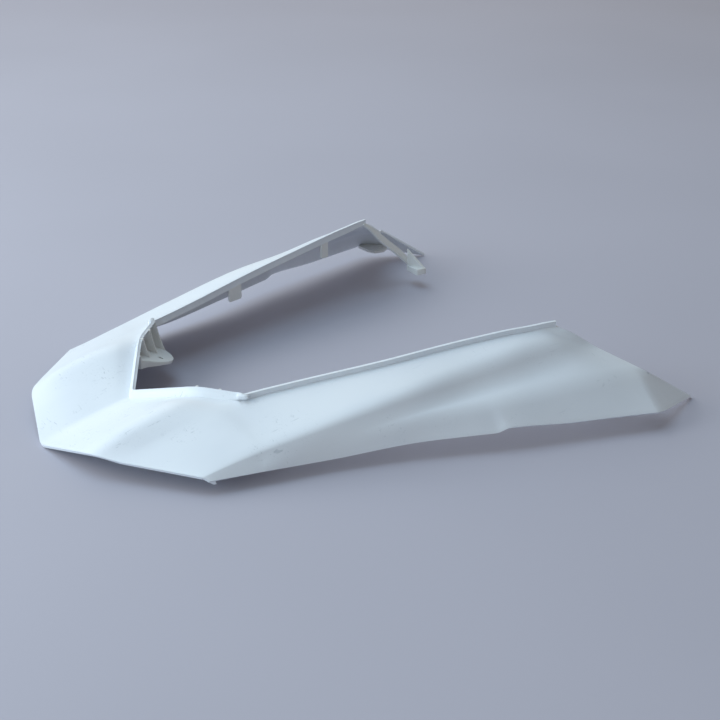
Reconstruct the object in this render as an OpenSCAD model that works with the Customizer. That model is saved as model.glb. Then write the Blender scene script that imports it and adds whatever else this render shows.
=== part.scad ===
// Motorcycle tail fairing, moulded in one piece from white plastic.
// A pointed tail with a valley between two ridges, and two long arms that run forward round the
// seat. The seat opening has an upstanding lip, and a bracket with a screw hole on each side of
// its back edge. The part lies on its tail tip and its two arm tips.
// X runs from the tail (-) to the arm tips (+), Y across, Z up from the ground. Millimetres.

/* [Overall size] */
// Length from the tail tip to the arm tips
overall_len = 500; // [440:5:580]
// Width over the lower front corners of the arms, the widest place
overall_w = 466; // [410:2:540]
// Height of the front end of the seat rim above the ground, without its lip
rim_h = 69; // [60:1:84]
// Thickness of the moulded wall
wall = 2.5; // [2:0.1:3]

/* [Seat opening lip] */
// Height of the lip along the arms
lip_h = 4.5; // [3:0.5:7]
// Height of the band across the back of the opening
band_h = 6; // [5:0.5:8]
// How far the top of the band leans into the opening
band_lean = 3.4; // [2:0.2:4.4]
// Extra height of the band at the centre of the tail
band_peak = 2; // [0:0.5:3]

/* [Soft creases] */
// How far the shoulder crease is rounded to each side
shoulder_round = 10; // [5:1:14]
// How far the two creases on the flank are rounded to each side
flank_round = 9; // [4:1:12]
// How far the tail ridges are rounded to each side
ridge_round = 11; // [5:1:16]
// How far the centre valley is rounded to each side
valley_round = 5; // [2:1:10]

/* [Step in the bottom edge] */
// Height of the small step up in the bottom edge of each arm
step_h = 3; // [1:0.5:5]
// Distance from the tail tip to the step
step_at = 302; // [280:2:320]

/* [Screw brackets] */
// Diameter of the screw hole
screw_d = 4.5; // [3.5:0.1:5.5]
// Thickness of the screw platform
pad_t = 3; // [2.5:0.1:4]
// Height of the platform's outer end above the ground
pad_z = 20; // [18:0.5:22]
// Thickness of the bracket's ribs
rib_t = 2; // [1.6:0.1:2.6]
// Spacing of the ribs along the back edge of the opening
rib_pitch = 19.4; // [17:0.2:19.6]

/* [Front clips] */
// Width of the clip at the lower end of each front strut, across the part
clip_len = 20; // [16:1:24]
// Height of the clip's block
clip_h = 6.4; // [5.5:0.2:8]
// Depth of the clip's block along the part
clip_d = 11.5; // [10:0.5:13]
// Diameter of the locating hole in the ear inside each lower front corner
ear_hole_d = 5; // [4:0.5:7]

/* [Hidden] */
$fn = 48;
eps = 0.01;

// The section points below are drawn for a part of this length, width and rim height.
drawn = [500, 466, 69];
k_size = [overall_len / drawn.x, overall_w / drawn.y, rim_h / drawn.z];

// Half sections of the flank from the tail edge forward, [x from the tail tip, y from the centre,
// z from the ground]. In each: seat rim, shoulder crease, upper flank crease, lower flank crease,
// bottom edge. The first five cross the tail, the others are the arm.
flank = [
    [[33, 86, 14.8], [76.5, 134.5, 12.6], [78, 136, 11.9], [79.5, 137.5, 11], [81, 139, 10]],
    [[58, 87, 23.5], [95, 135.2, 17], [95.5, 137.5, 14.5], [96, 139.5, 12], [97, 141.5, 9.6]],
    [[84, 87, 31], [114, 136.8, 21.5], [114, 139.5, 17.5], [113.5, 142, 13.5], [113.5, 144.5, 9.5]],
    [[110, 87.5, 36.5], [125, 138, 24], [124, 141, 18.5], [122, 144, 13.5], [122, 146, 9.5]],
    [[134, 87, 40], [134, 139, 26], [133, 142.5, 20], [131, 146, 14], [130, 147.5, 9.5]],
    [[178, 97, 45.5], [178, 145, 35], [178, 150, 26.5], [178, 153.5, 17.5], [179, 156, 9]],
    [[245, 115.5, 54], [245, 153, 48], [245, 160, 35], [245, 168, 29], [241, 172.5, 13]],
    [[300, 128, 61], [300, 155.5, 55], [300, 165, 39], [300, 181, 35], [302, 194.5, 14.7]],
    [[345, 139, 66], [345, 160, 62], [345, 170, 44.5], [345, 189.5, 37.5], [345, 207, 15.3]],
    [[368, 145, 67.6], [376, 161.5, 63.5], [390, 174, 51], [398, 198.5, 40], [398, 221.5, 14.8]],
    [[381, 148, 68.7], [392, 157, 62.5], [412, 167, 51.5], [437, 202, 38.5], [439, 233, 14]]
];
// The arm's front edge: the rim's end, down to the corner of the front face, and the arm tip.
front_edge = [[391.5, 150.3, 69], [402, 156.5, 64.8], [420, 165, 51], [445, 203, 37], [500, 203, 0]];
// The tail between the flanks, for the first five sections: centre valley and ridge.
tail = [
    [[0, 0, 0], [16.5, 64.5, 17]],
    [[25, 0, 8], [38, 66, 28.5]],
    [[50, 0, 14.5], [66, 65, 37]],
    [[65, 0, 18], [91, 61, 41]],
    [[76, 0, 20], [108, 57, 36.5]]
];
// Steps between neighbouring sections, and points round each soft crease.
tail_steps = [3, 3, 2, 3];
arm_steps = [4, 6, 6, 4, 3, 3];
crease_steps = 3;
corner_at = len(flank) - 1;
rear_at = len(tail) - 1;
// Share of the last two sections that the soft corner of the front face takes.
corner_soft = 0.12;
// The step rises over step_run and fades forward over step_fade.
step_run = 10;
step_fade = 55;

// Vector helpers
function unit(v) = v / norm(v);
function flip(p) = [p.x, -p.y, p.z];
function back_to_front(l) = [for (i = [len(l) - 1:-1:0]) l[i]];
function clamp(v, lo, hi) = max(lo, min(hi, v));
function ease(t) = let (c = clamp(t, 0, 1)) c * c * (3 - 2 * c);
function placed(p) = [p.x * k_size.x - overall_len / 2, p.y * k_size.y, p.z * k_size.z];

// Smooth curve through a list of points, at s counted in list places.
function through(l, s) =
    let (i = clamp(floor(s), 0, len(l) - 2), f = s - i,
         a = l[max(i - 1, 0)], b = l[i], c = l[i + 1], d = l[min(i + 2, len(l) - 1)])
    b + f / 2 * (c - a) + f * f / 2 * (2 * a - 5 * b + 4 * c - d)
      + f * f * f / 2 * (3 * b - 3 * c + d - a);

// Corner m of the flank section at place s, with the step in the bottom edge.
function step_lift(x) =
    x < step_at ? 0 : step_h * ease((x - step_at) / step_run) * (1 - ease((x - step_at - step_run) / step_fade));
function raw_corner(m, s) =
    s <= corner_at ? through([for (row = flank) row[m]], s)
                   : let (f = s - corner_at) flank[corner_at][m] * (1 - f) + front_edge[m] * f;
function soft_corner(m, s) =
    abs(s - corner_at) > eps ? raw_corner(m, s)
    : (raw_corner(m, s - corner_soft) + 2 * raw_corner(m, s) + raw_corner(m, s + corner_soft)) / 4;
function flank_corner(m, s) =
    let (p = soft_corner(m, s)) placed(m == 4 ? [p.x, p.y, p.z + step_lift(p.x)] : p);

// Points that round the corner b between a and c. The rounding takes no more than corner_share of
// either side.
corner_share = 0.45;
function rounded(a, b, c, cut) =
    let (p = b + unit(a - b) * min(cut, corner_share * norm(a - b)),
         q = b + unit(c - b) * min(cut, corner_share * norm(c - b)))
    [for (i = [0:crease_steps]) let (t = i / crease_steps) (1 - t) * (1 - t) * p + 2 * t * (1 - t) * b + t * t * q];

// The flank section at place s, from the seat rim down to the bottom edge.
function flank_row(s) =
    let (c = [for (m = [0:4]) flank_corner(m, s)])
    concat([c[0]], rounded(c[0], c[1], c[2], shoulder_round), rounded(c[1], c[2], c[3], flank_round),
           rounded(c[2], c[3], c[4], flank_round), [c[4]]);
// The whole section of the tail at place s, from the right bottom edge to the left one.
function tail_row(s) =
    let (rim = flank_corner(0, s), ridge = placed(through([for (t = tail) t[1]], s)),
         valley = placed(through([for (t = tail) t[0]], s)),
         side = concat(rounded(valley, ridge, rim, ridge_round), flank_row(s)),
         dip = unit(ridge - valley) * valley_round, shore = valley + dip)
    concat(back_to_front([for (p = side) flip(p)]), [flip(shore), valley + [0, 0, dip.z / 2], shore], side);

// Outward normal of every point in a row, from the rows just behind and ahead of it.
function row_normals(behind, row, ahead) = [
    for (i = [0:len(row) - 1])
        let (along = ahead[i] - behind[i],
             n1 = unit(cross(along, row[max(i, 1)] - row[max(i, 1) - 1])),
             n2 = unit(cross(along, row[min(i, len(row) - 2) + 1] - row[min(i, len(row) - 2)])))
        (n1 + n2) / (1 + n1 * n2)
];
nudge = 0.02;
function tail_normals(s) =
    row_normals(tail_row(max(s - nudge, 0)), tail_row(s), tail_row(min(s + nudge, rear_at)));
function flank_normals(s) = row_normals(
    flank_row(s - nudge), flank_row(s), flank_row(min(s + nudge, corner_at + 1)));

// Places of the rows over the tail and along the arm.
function places(from, steps) = [
    for (i = [0:len(steps) - 1]) for (j = [0:steps[i] - 1]) from + i + j / steps[i]];
tail_places = concat(places(0, tail_steps), [rear_at]);
arm_places = concat(
    [for (s = places(rear_at, arm_steps)) if (s > rear_at) s],
    [corner_at - corner_soft, corner_at, corner_at + corner_soft, corner_at + 1]);

tail_rows = [for (s = tail_places) tail_row(s)];
tail_in = [for (s = tail_places) tail_normals(s)];
left_rows = [for (s = arm_places) flank_row(s)];
left_in = [for (s = arm_places) flank_normals(s)];

side_n = len(left_rows[0]);
row_n = len(tail_rows[0]);
arm_n = len(arm_places);
tail_n = len(tail_places);
last_row = tail_rows[tail_n - 1];
last_in = tail_in[tail_n - 1];
inner_n = row_n - 2 * side_n;

// The edge of the seat opening, from the right arm's front end round the tail to the left arm's.
opening = concat(
    [for (i = [arm_n - 1:-1:0]) flip(left_rows[i][0])],
    [for (j = [side_n - 1:side_n + inner_n]) last_row[j]],
    [for (row = left_rows) row[0]]);
opening_in = concat(
    [for (i = [arm_n - 1:-1:0]) flip(left_in[i][0])],
    [for (j = [side_n - 1:side_n + inner_n]) last_in[j]],
    [for (n = left_in) n[0]]);
open_n = len(opening);
mid_open = (open_n - 1) / 2;

// How much of the lip is the taller band at point i, and how near it is to the centre. The band
// fades into the lip over band_fade points past its ends, and its peak is peak_reach points wide.
band_fade = 2;
peak_reach = 3;
function band_share(i) = ease((inner_n / 2 + 0.5 + band_fade - abs(i - mid_open)) / band_fade);
function peak_share(i) = ease(1 - abs(i - mid_open) / peak_reach);
function open_along(i) = opening[min(i + 1, open_n - 1)] - opening[max(i - 1, 0)];
function lip_top(i) =
    let (t = open_along(i), inward = unit([t.y, -t.x, 0]), b = band_share(i))
    opening[i] + inward * band_lean * b
    + [0, 0, lip_h * (1 - b) + (band_h + band_peak * peak_share(i)) * b];
lip = [for (i = [0:open_n - 1]) lip_top(i)];
lip_normal = [for (i = [0:open_n - 1]) unit(cross(lip[i] - opening[i], open_along(i)))];
// At the foot of the lip the inner wall follows both the skin and the lip.
foot_in = [
    for (i = [0:open_n - 1])
        let (n1 = unit(opening_in[i]), n2 = lip_normal[i]) (n1 + n2) / (1 + n1 * n2)];

// All points of the outer face, then the same points set in by the wall.
outer = concat(
    [for (row = tail_rows) each row],
    [for (row = left_rows) each back_to_front([for (p = row) flip(p)])],
    [for (row = left_rows) each row], lip);
function arm_set(row, foot) = concat([foot], [for (i = [1:side_n - 1]) row[i]]);
set_in = concat(
    [for (i = [0:tail_n - 2]) each tail_in[i]],
    [for (j = [0:row_n - 1])
        let (i = j - side_n + 1) i < 0 || i > inner_n + 1 ? last_in[j] : foot_in[arm_n + i]],
    [for (i = [0:arm_n - 1])
        each back_to_front([for (n = arm_set(left_in[i], flip(foot_in[arm_n - 1 - i]))) flip(n)])],
    [for (i = [0:arm_n - 1]) each arm_set(left_in[i], foot_in[open_n - arm_n + i])],
    lip_normal);
outer_n = len(outer);
low_points = concat(outer, [for (i = [0:outer_n - 1]) outer[i] - wall * set_in[i]]);
// The inner corner of the tail tip hangs lowest, so the whole part is lifted to stand on it.
lift = -min([for (p = low_points) p.z]);
shell_points = [for (p = low_points) p + [0, 0, lift]];

// Index of a point: row r and column j over the tail, row r and column j on an arm, point i of
// the lip. Row 0 of an arm is the last row of the tail.
function on_tail(r, j) = r * row_n + j;
right_base = tail_n * row_n;
left_base = right_base + arm_n * side_n;
lip_base = left_base + arm_n * side_n;
function on_right(r, j) = r == 0 ? on_tail(tail_n - 1, j) : right_base + (r - 1) * side_n + j;
function on_left(r, j) = r == 0 ? on_tail(tail_n - 1, row_n - side_n + j) : left_base + (r - 1) * side_n + j;
function on_opening(i) =
    i < arm_n ? on_right(arm_n - i, side_n - 1)
    : i >= open_n - arm_n ? on_left(i - (open_n - arm_n) + 1, 0)
    : on_tail(tail_n - 1, side_n - 1 + i - arm_n);

quads = concat(
    [for (r = [0:tail_n - 2]) for (j = [0:row_n - 2])
        [on_tail(r, j), on_tail(r + 1, j), on_tail(r + 1, j + 1), on_tail(r, j + 1)]],
    [for (r = [0:arm_n - 1]) for (j = [0:side_n - 2])
        [on_right(r, j), on_right(r + 1, j), on_right(r + 1, j + 1), on_right(r, j + 1)]],
    [for (r = [0:arm_n - 1]) for (j = [0:side_n - 2])
        [on_left(r, j), on_left(r + 1, j), on_left(r + 1, j + 1), on_left(r, j + 1)]],
    [for (i = [0:open_n - 2])
        [on_opening(i), lip_base + i, lip_base + i + 1, on_opening(i + 1)]]);
// The free edge of the sheet, once round.
edge = concat(
    [for (j = [0:row_n - 1]) on_tail(0, j)],
    [for (r = [1:tail_n - 1]) on_tail(r, row_n - 1)],
    [for (r = [1:arm_n]) on_left(r, side_n - 1)],
    [for (j = [side_n - 2:-1:0]) on_left(arm_n, j)],
    [for (i = [open_n - 1:-1:0]) lip_base + i],
    [for (j = [side_n - 1:-1:0]) on_right(arm_n, j)],
    [for (r = [arm_n - 1:-1:0]) on_right(r, 0)],
    [for (r = [tail_n - 2:-1:1]) on_tail(r, 0)]);
function halves(q) = [[q[0], q[1], q[2]], [q[0], q[2], q[3]]];
shell_faces = concat(
    [for (q = quads) each halves(back_to_front(q))],
    [for (q = quads) each halves([for (i = q) i + outer_n])],
    [for (i = [0:len(edge) - 1])
        let (a = edge[i], b = edge[(i + 1) % len(edge)]) each halves([a + outer_n, b + outer_n, b, a])]);

module shell() {
    polyhedron(points = shell_points, faces = shell_faces, convexity = 12);
}

// The same thing on the left and, mirrored, on the right.
module both_sides() {
    children();
    mirror([0, 1, 0])
        children();
}

// A flat plate with the given corners, as thick as the vector v.
module plate(corners, v) {
    n = len(corners);
    c = cross(corners[1] - corners[0], corners[2] - corners[0]) * v > 0 ? corners : back_to_front(corners);
    polyhedron(
        points = concat(c, [for (p = c) p + v]),
        faces = concat(
            [for (i = [1:n - 2]) [0, i, i + 1]],
            [for (i = [1:n - 2]) [n, n + i + 1, n + i]],
            [for (i = [0:n - 1]) each halves([i, n + i, n + (i + 1) % n, (i + 1) % n])]));
}
function on_part(p) = placed(p) + [0, 0, lift];

// Each bracket stands in a frame of its own: u along the back edge of the opening from its outer
// corner towards the centre, w into the opening, z up.
outer_corner = flank_corner(0, rear_at) + [0, 0, lift];
ridge_foot = on_part(tail[rear_at][1]);
valley_foot = on_part(tail[rear_at][0]);
back_len = norm([ridge_foot.x - outer_corner.x, ridge_foot.y - outer_corner.y]);
back_dir = [ridge_foot.x - outer_corner.x, ridge_foot.y - outer_corner.y, 0] / back_len;
back_angle = atan2(back_dir.y, back_dir.x);
valley_u = (valley_foot - outer_corner) * back_dir;
valley_w = (valley_foot - outer_corner) * [-back_dir.y, back_dir.x, 0];
function past_ridge(u) = max(0, (u - back_len) / (valley_u - back_len));
function edge_w(u) = valley_w * past_ridge(u);
function edge_z(u) =
    outer_corner.z + (ridge_foot.z - outer_corner.z) * min(u / back_len, 1)
    + (valley_foot.z - ridge_foot.z) * past_ridge(u);

// The pad slopes up towards the centre by pad_rise and down into the opening by pad_fall. It is
// pad_z high where its outer end meets the first rib.
pad_rise = 0.25;
pad_fall = 0.3;
pad_turn = [-atan(pad_fall), -atan(pad_rise), 0];
pad_back = 4;
pad_reach = 13;
ribs_n = 4;
pad_end = (ribs_n - 1) * rib_pitch + rib_t / 2;
pad_inner_w = 10.5;
screw_at = [28, 18.6];
function pad_top(u, w) = pad_z + pad_rise * u - pad_fall * (w - pad_reach);
// Front edge of the pad in the pad's own plane, from the outer end to the last rib.
pad_front = [
    [-rib_t / 2, pad_reach], [5, 20], [10.5, 24], [15.5, 26.5], [23, 27.5], [30.5, 26.4], [39, 23.2],
    [46.5, 18.3], [53, 13.4], [pad_end, pad_inner_w]
];
// The skirt under the inner part of the front edge, deeper towards the inner end. Its top follows
// the pad, and end_fall is how far the end rib falls from the band to the skirt.
skirt_from = 5;
skirt_t = 2.2;
skirt_low = [[26, 21.2], [42, 24.4], [52, 26.9], [pad_end + 1, 28.3]];
end_fall = 2.6;
function skirt_foot(u) = pad_z - 20 + lookup(u, skirt_low);

// A rib across the bracket at u, from inside the band down into the pad: its upper edge runs almost
// level for lead, and then falls to the pad.
lead_fall = 0.1;
end_lead = 0.5;
rib_lead = 2.4;
// Ribs end this share of the wall below the skin's outer face.
sunk = 0.65;
band_across = [band_h, -band_lean] / norm([band_lean, band_h]) * wall / 2;
function band_foot(u) = [edge_w(u), edge_z(u)] + band_across;
function band_top(u) = band_foot(u) + [band_lean, band_h];
module across_bracket(u, profile) {
    translate([u - rib_t / 2, 0, 0])
        rotate([90, 0, 90])
            linear_extrude(height = rib_t)
                polygon(profile);
}
module bracket_rib(u, lead) {
    across_bracket(u, [
        [-pad_back, edge_z(u) - sunk * wall], band_foot(u), band_top(u), band_top(u) + [lead, -lead_fall * lead],
        [pad_reach, pad_top(u, pad_reach) - pad_t / 2], [-pad_back, pad_top(u, -pad_back) - pad_t / 2]
    ]);
}
// The rib that closes the bracket's inner end reaches from the band's top down to the skirt's foot.
module bracket_end(u) {
    w = band_top(u)[0];
    across_bracket(u, [
        band_foot(u), band_top(u), [pad_inner_w, band_top(u)[1] - end_fall], [pad_inner_w, skirt_foot(u)],
        [w - 1, skirt_foot(u)]
    ]);
}

// The sloping pad with its rounded nose and the screw hole square to it.
module bracket_pad() {
    inner_edge = concat(
        [for (p = [[pad_end, 3], [50, 2.5], [42, 1]]) [p[0], edge_w(p[0]) + p[1]]],
        [[36, -pad_back], [-rib_t / 2, -pad_back]]);
    translate([0, 0, pad_top(0, 0)])
        rotate(pad_turn)
            difference() {
                translate([0, 0, -pad_t])
                    linear_extrude(height = pad_t)
                        polygon(concat(pad_front, inner_edge));
                translate([screw_at[0], screw_at[1], -2 * pad_t])
                    cylinder(d = screw_d, h = 3 * pad_t);
            }
}

// The skirt along the pad's front edge.
module bracket_skirt() {
    front = [for (i = [skirt_from:len(pad_front) - 1]) pad_front[i]];
    top = [for (p = back_to_front(front)) [p[0], pad_top(p[0], p[1]) - pad_t / 4]];
    intersection() {
        linear_extrude(height = 2 * pad_z)
            polygon(concat(front, back_to_front([for (p = front) p - [0.15, 1] * skirt_t])));
        translate([0, 2 * pad_reach + skirt_t, 0])
            rotate([90, 0, 0])
                linear_extrude(height = 2 * pad_reach)
                    polygon(concat([for (p = skirt_low) [p[0], skirt_foot(p[0])]], top));
    }
}

// The wall behind the ribs, from the skin down to the pad.
module bracket_back() {
    u = [-rib_t / 2, back_len, back_len + rib_t];
    translate([0, rib_t - pad_back, 0])
        rotate([90, 0, 0])
            linear_extrude(height = rib_t)
                polygon(concat(
                    [for (a = u) [a, edge_z(a) - sunk * wall]],
                    [for (a = [u[2], u[0]]) [a, pad_top(a, -pad_back) - 0.7 * pad_t]]));
}

module bracket() {
    translate([outer_corner.x, outer_corner.y, 0])
        rotate([0, 0, back_angle])
            union() {
                bracket_pad();
                bracket_skirt();
                bracket_back();
                bracket_rib(0, end_lead);
                for (i = [1:ribs_n - 2])
                    bracket_rib(i * rib_pitch, rib_lead);
                bracket_end((ribs_n - 1) * rib_pitch);
            }
}

// Tongues that hang under the seat rim: place from the tail tip, length and depth of each.
tongues = [[228, 15, 15.5], [337.5, 9, 17]];
tongue_t = 2.4;
module rim_tongue(x, length, depth) {
    behind = [for (row = left_rows) if (row[0].x + overall_len / 2 < x * k_size.x) row[0]];
    p = behind[len(behind) - 1];
    q = left_rows[len(behind)][0];
    f = (x * k_size.x - overall_len / 2 - p.x) / (q.x - p.x);
    translate(p + (q - p) * f + [0, 0, lift])
        rotate([0, 0, atan2(q.y - p.y, q.x - p.x)])
            translate([-length / 2, -tongue_t, -depth])
                cube([length, tongue_t, depth - wall * 0.4]);
}

// The strut that runs down from the front end of each rim to the clip. Its plate leans, so that its
// outline is drawn along the strut and across it.
strut_y = 146.8;
strut_t = 2.4;
strut_top = [394, strut_y, 66.5];
strut_drop = 42.7;
strut_lean = 38;
strut_outline = [
    [-6, 1.2], [1.5, 2.5], [19.5, 4], [36, 3.9], [40.5, 4.4], [51.5, 4.6], [60, 3.6], [66, 1.5],
    [69, -4], [54, -3.6], [38, -3.7], [22, -4], [4, -1.2], [-6, -2]
];
module front_strut() {
    translate(on_part(strut_top))
        rotate([0, strut_drop, 0])
            rotate([90 - strut_lean, 0, 0])
                translate([0, 0, -strut_t])
                    linear_extrude(height = strut_t)
                        polygon(strut_outline);
}
// A point in the strut's plate, s along it and t across it, half way through its thickness.
function in_strut(s, t) =
    on_part(strut_top) + s * [cos(strut_drop), 0, -sin(strut_drop)]
    + t * [cos(strut_lean) * sin(strut_drop), sin(strut_lean), cos(strut_lean) * cos(strut_drop)]
    - strut_t / 2 * [sin(strut_lean) * sin(strut_drop), -cos(strut_lean), sin(strut_lean) * cos(strut_drop)];
// A point half way through the skin, just behind its front edge: point j of the section.
function in_skin(j) =
    (left_rows[arm_n - 1][j] + left_rows[arm_n - 2][j]) / 2 - wall / 2 * left_in[arm_n - 1][j] + [0, 0, lift];
// The web that ties the strut to the skin behind the front edge.
web_t = 2.4;
module front_gusset() {
    corners = [in_strut(9, 1.6), in_strut(34, 1.6), in_skin(6), in_skin(2)];
    plate(corners, -unit(cross(corners[2] - corners[0], corners[3] - corners[1])) * web_t);
}

// The clip at the lower end of the strut: a block open at the bottom, and an upright web across its
// top that carries it from the strut. clip_at is the way from the top of the strut to the block's
// lower corner next to the skin.
clip_at = [45.5, -0.3, -54.5];
web_rise = 17.5;
web_in = 0.8;
module front_clip() {
    corner = on_part(strut_top) + clip_at - [0, clip_len, 0];
    across = unit([clip_len, clip_d, 0]) * web_t;
    root = [web_in, -web_in, clip_h - web_t / 2];
    low = corner + [clip_d, 0, 0] - across / 2 + [-root.x, -root.y, root.z];
    back = corner + [0, clip_len, 0] - across / 2 + root;
    difference() {
        translate(corner)
            cube([clip_d, clip_len, clip_h]);
        translate(corner + [1, 1, -1] * web_t)
            cube([clip_d - 2 * web_t, clip_len - 2 * web_t, clip_h]);
    }
    plate([low, back + [0, 0, web_rise], back], across);
}

// The ear inside each lower front corner, with its locating hole.
ear_outline = [
    [430, 224], [437, 228.5], [442, 227], [452.5, 219.5], [455, 215], [453.5, 204.6], [446, 199.5], [436, 201],
    [432, 208]
];
ear_hole_at = [449, 208.5];
ear_z = 15.6;
ear_t = 2.6;
module corner_ear() {
    z = on_part([0, 0, ear_z]).z;
    hole = on_part([ear_hole_at[0], ear_hole_at[1], 0]);
    difference() {
        translate([0, 0, z - ear_t])
            linear_extrude(height = ear_t)
                polygon([for (p = ear_outline) let (c = placed([p[0], p[1], 0])) [c.x, c.y]]);
        translate([hole.x, hole.y, z - 2 * ear_t])
            cylinder(d = ear_hole_d, h = 3 * ear_t);
    }
}

// A small spur that hangs from the corner where the tail edge meets the bottom edge.
spur = [[-2, -2.6, -0.2], [4.5, -0.6, -0.4], [6, -0.6, -4.6], [3.5, -1.3, -4.6]];
spur_across = unit([0.4, -0.9, 0]) * 2;
module tail_spur() {
    corner = flank_corner(4, 0) + [0, 0, lift];
    plate([for (p = spur) corner + p], spur_across);
}

module tail_fairing() {
    color("#e9eef2")
        union() {
            shell();
            both_sides() {
                bracket();
                for (t = tongues)
                    rim_tongue(t[0], t[1], t[2]);
                front_strut();
                front_gusset();
                front_clip();
                corner_ear();
                tail_spur();
            }
        }
}

tail_fairing();
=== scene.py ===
"""Looks of a one-piece motorcycle tail fairing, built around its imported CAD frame.

The fairing is one moulding of white plastic. Its shell is a sheet of constant wall whose section
is carried along smooth curves, and small moulded fittings stand on it. Sizes are in millimetres,
with X from the tail to the arm tips, Y to the left and Z up, and meshes are written in metres.
"""

import logging
import math
from dataclasses import dataclass
from enum import Enum

import bpy
import numpy as np
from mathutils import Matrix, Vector


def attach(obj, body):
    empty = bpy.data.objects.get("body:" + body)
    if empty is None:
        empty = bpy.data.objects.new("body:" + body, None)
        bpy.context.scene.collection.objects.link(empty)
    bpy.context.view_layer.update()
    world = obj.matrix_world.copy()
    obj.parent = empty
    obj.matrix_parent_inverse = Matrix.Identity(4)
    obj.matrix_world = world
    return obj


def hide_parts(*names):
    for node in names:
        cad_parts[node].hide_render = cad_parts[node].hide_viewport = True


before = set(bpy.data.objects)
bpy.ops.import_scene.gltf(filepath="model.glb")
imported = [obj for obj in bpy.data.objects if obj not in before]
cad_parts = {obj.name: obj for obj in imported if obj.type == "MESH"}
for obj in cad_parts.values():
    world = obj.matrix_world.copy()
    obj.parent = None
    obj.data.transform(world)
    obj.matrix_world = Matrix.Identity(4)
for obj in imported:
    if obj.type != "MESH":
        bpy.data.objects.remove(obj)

LOG = logging.getLogger("tail_fairing")
MM = 0.001
BODY = "root"
CAD_NODE = "tail_fairing"
Array = np.ndarray
UP = np.array([0.0, 0.0, 1.0])
LEVEL = np.array([1.0, 1.0, 0.0])
MIRROR = np.array([1.0, -1.0, 1.0])
Triple = tuple[float, float, float]
Socket = bpy.types.NodeSocket


class Side(Enum):
    """The side of the part that a fitting stands on, seen from the tail towards the arms."""

    LEFT = 1
    RIGHT = -1

    @property
    def label(self) -> str:
        """The side's name as it ends a piece's name."""
        return self.name.lower()


# ---- Curves, sections and closed solids ----


def unit(v: Array) -> Array:
    """Vectors scaled to length one: v / |v| along the last axis."""
    return v / np.linalg.norm(v, axis=-1, keepdims=True)


def dot(a: Array, b: Array) -> Array:
    """The scalar product along the last axis, kept as an axis of one."""
    return (a * b).sum(axis=-1, keepdims=True)


def ease(t: Array) -> Array:
    """Smooth step: 3 c^2 - 2 c^3, where c is t held between 0 and 1."""
    c = np.clip(t, 0, 1)
    return c * c * (3 - 2 * c)


def through(table: Array, s: Array) -> Array:
    """Smooth curve through the rows of a table.

    With a, b, c, d the rows around place s and f the share of the way from b to c, the point is
    b + f (c - a) / 2 + f^2 (2a - 5b + 4c - d) / 2 + f^3 (3b - 3c + d - a) / 2.

    Args:
        table: Rows of points, with any number of middle axes.
        s: Places, counted in rows.

    Returns:
        One row for each place.
    """
    last = len(table) - 1
    i = np.clip(np.floor(s).astype(int), 0, last - 1)
    f = (s - i).reshape((-1,) + (1,) * (table.ndim - 1))
    a, b = table[np.maximum(i - 1, 0)], table[i]
    c, d = table[i + 1], table[np.minimum(i + 2, last)]
    return b + f / 2 * (c - a) + f**2 / 2 * (2 * a - 5 * b + 4 * c - d) + f**3 / 2 * (3 * b - 3 * c + d - a)


def smooth_path(points: Array, steps: int) -> Array:
    """A finer copy of an open path, with that many steps between neighbouring points."""
    return through(points, np.linspace(0, len(points) - 1, (len(points) - 1) * steps + 1))


def arc(a: Array, b: Array, c: Array, cut: float, share: float, steps: int) -> Array:
    """Round the corner b between a and c in every row.

    The arc is (1-t)^2 p + 2t(1-t) b + t^2 q, where p and q lie cut before and after the corner,
    and no further than share of either side.

    Args:
        a: Points before the corner, one for each row.
        b: Corner points.
        c: Points after the corner.
        cut: How far the rounding reaches along each side.
        share: The most of a side that it takes.
        steps: Steps along the arc.

    Returns:
        An array of rows, steps + 1 points and 3 coordinates.
    """
    def reach(end: Array) -> Array:
        """The arc's end point on the side from the corner to that end."""
        length = np.linalg.norm(end - b, axis=-1, keepdims=True)
        return b + unit(end - b) * np.minimum(cut, share * length)

    t = np.linspace(0, 1, steps + 1)[None, :, None]
    p, q = reach(a)[:, None], reach(c)[:, None]
    return (1 - t) ** 2 * p + 2 * t * (1 - t) * b[:, None] + t**2 * q


def straight(a: Array, b: Array, steps: int) -> Array:
    """The points strictly between a and b in every row: a + t (b - a), with t from 1/n to 1 - 1/n."""
    t = np.linspace(0, 1, steps + 1)[None, 1:-1, None]
    return a[:, None] * (1 - t) + b[:, None] * t


@dataclass
class Solid:
    """A closed surface: its points in millimetres and its faces, which point outwards.

    Attributes:
        points: Points, one row each.
        faces: Index arrays, each of faces with the same number of corners.
    """

    points: Array
    faces: list[Array]

    def moved(self, axes: Array, origin: Array) -> "Solid":
        """The solid in a frame whose axes are the rows of a matrix: p x axes + origin."""
        return Solid(self.points @ axes + origin, self.faces)

    def on(self, side: Side) -> "Solid":
        """The solid, which is drawn on the left, on that side: the mirror image has its faces turned."""
        if side is Side.LEFT:
            return self
        return Solid(self.points * MIRROR, [f[:, ::-1] for f in self.faces])

    def outward(self) -> "Solid":
        """The solid with its faces turned to point outwards, judged by its signed volume."""
        volume = 0.0
        for f in self.faces:
            for k in range(1, f.shape[1] - 1):
                a, b, c = self.points[f[:, 0]], self.points[f[:, k]], self.points[f[:, k + 1]]
                volume += float((a * np.cross(b, c)).sum())
        return self if volume > 0 else Solid(self.points, [f[:, ::-1] for f in self.faces])


def strip(first: Array, second: Array, closed: bool) -> Array:
    """Quads between two rows of point indices of the same length."""
    a, b = (np.append(r, r[:1]) if closed else r for r in (first, second))
    return np.stack([a[:-1], a[1:], b[1:], b[:-1]], axis=1)


def grid_faces(index: Array) -> Array:
    """Quads of a grid of point indices, rows by columns."""
    return np.stack([index[:-1, :-1], index[1:, :-1], index[1:, 1:], index[:-1, 1:]], axis=-1).reshape(-1, 4)


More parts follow.
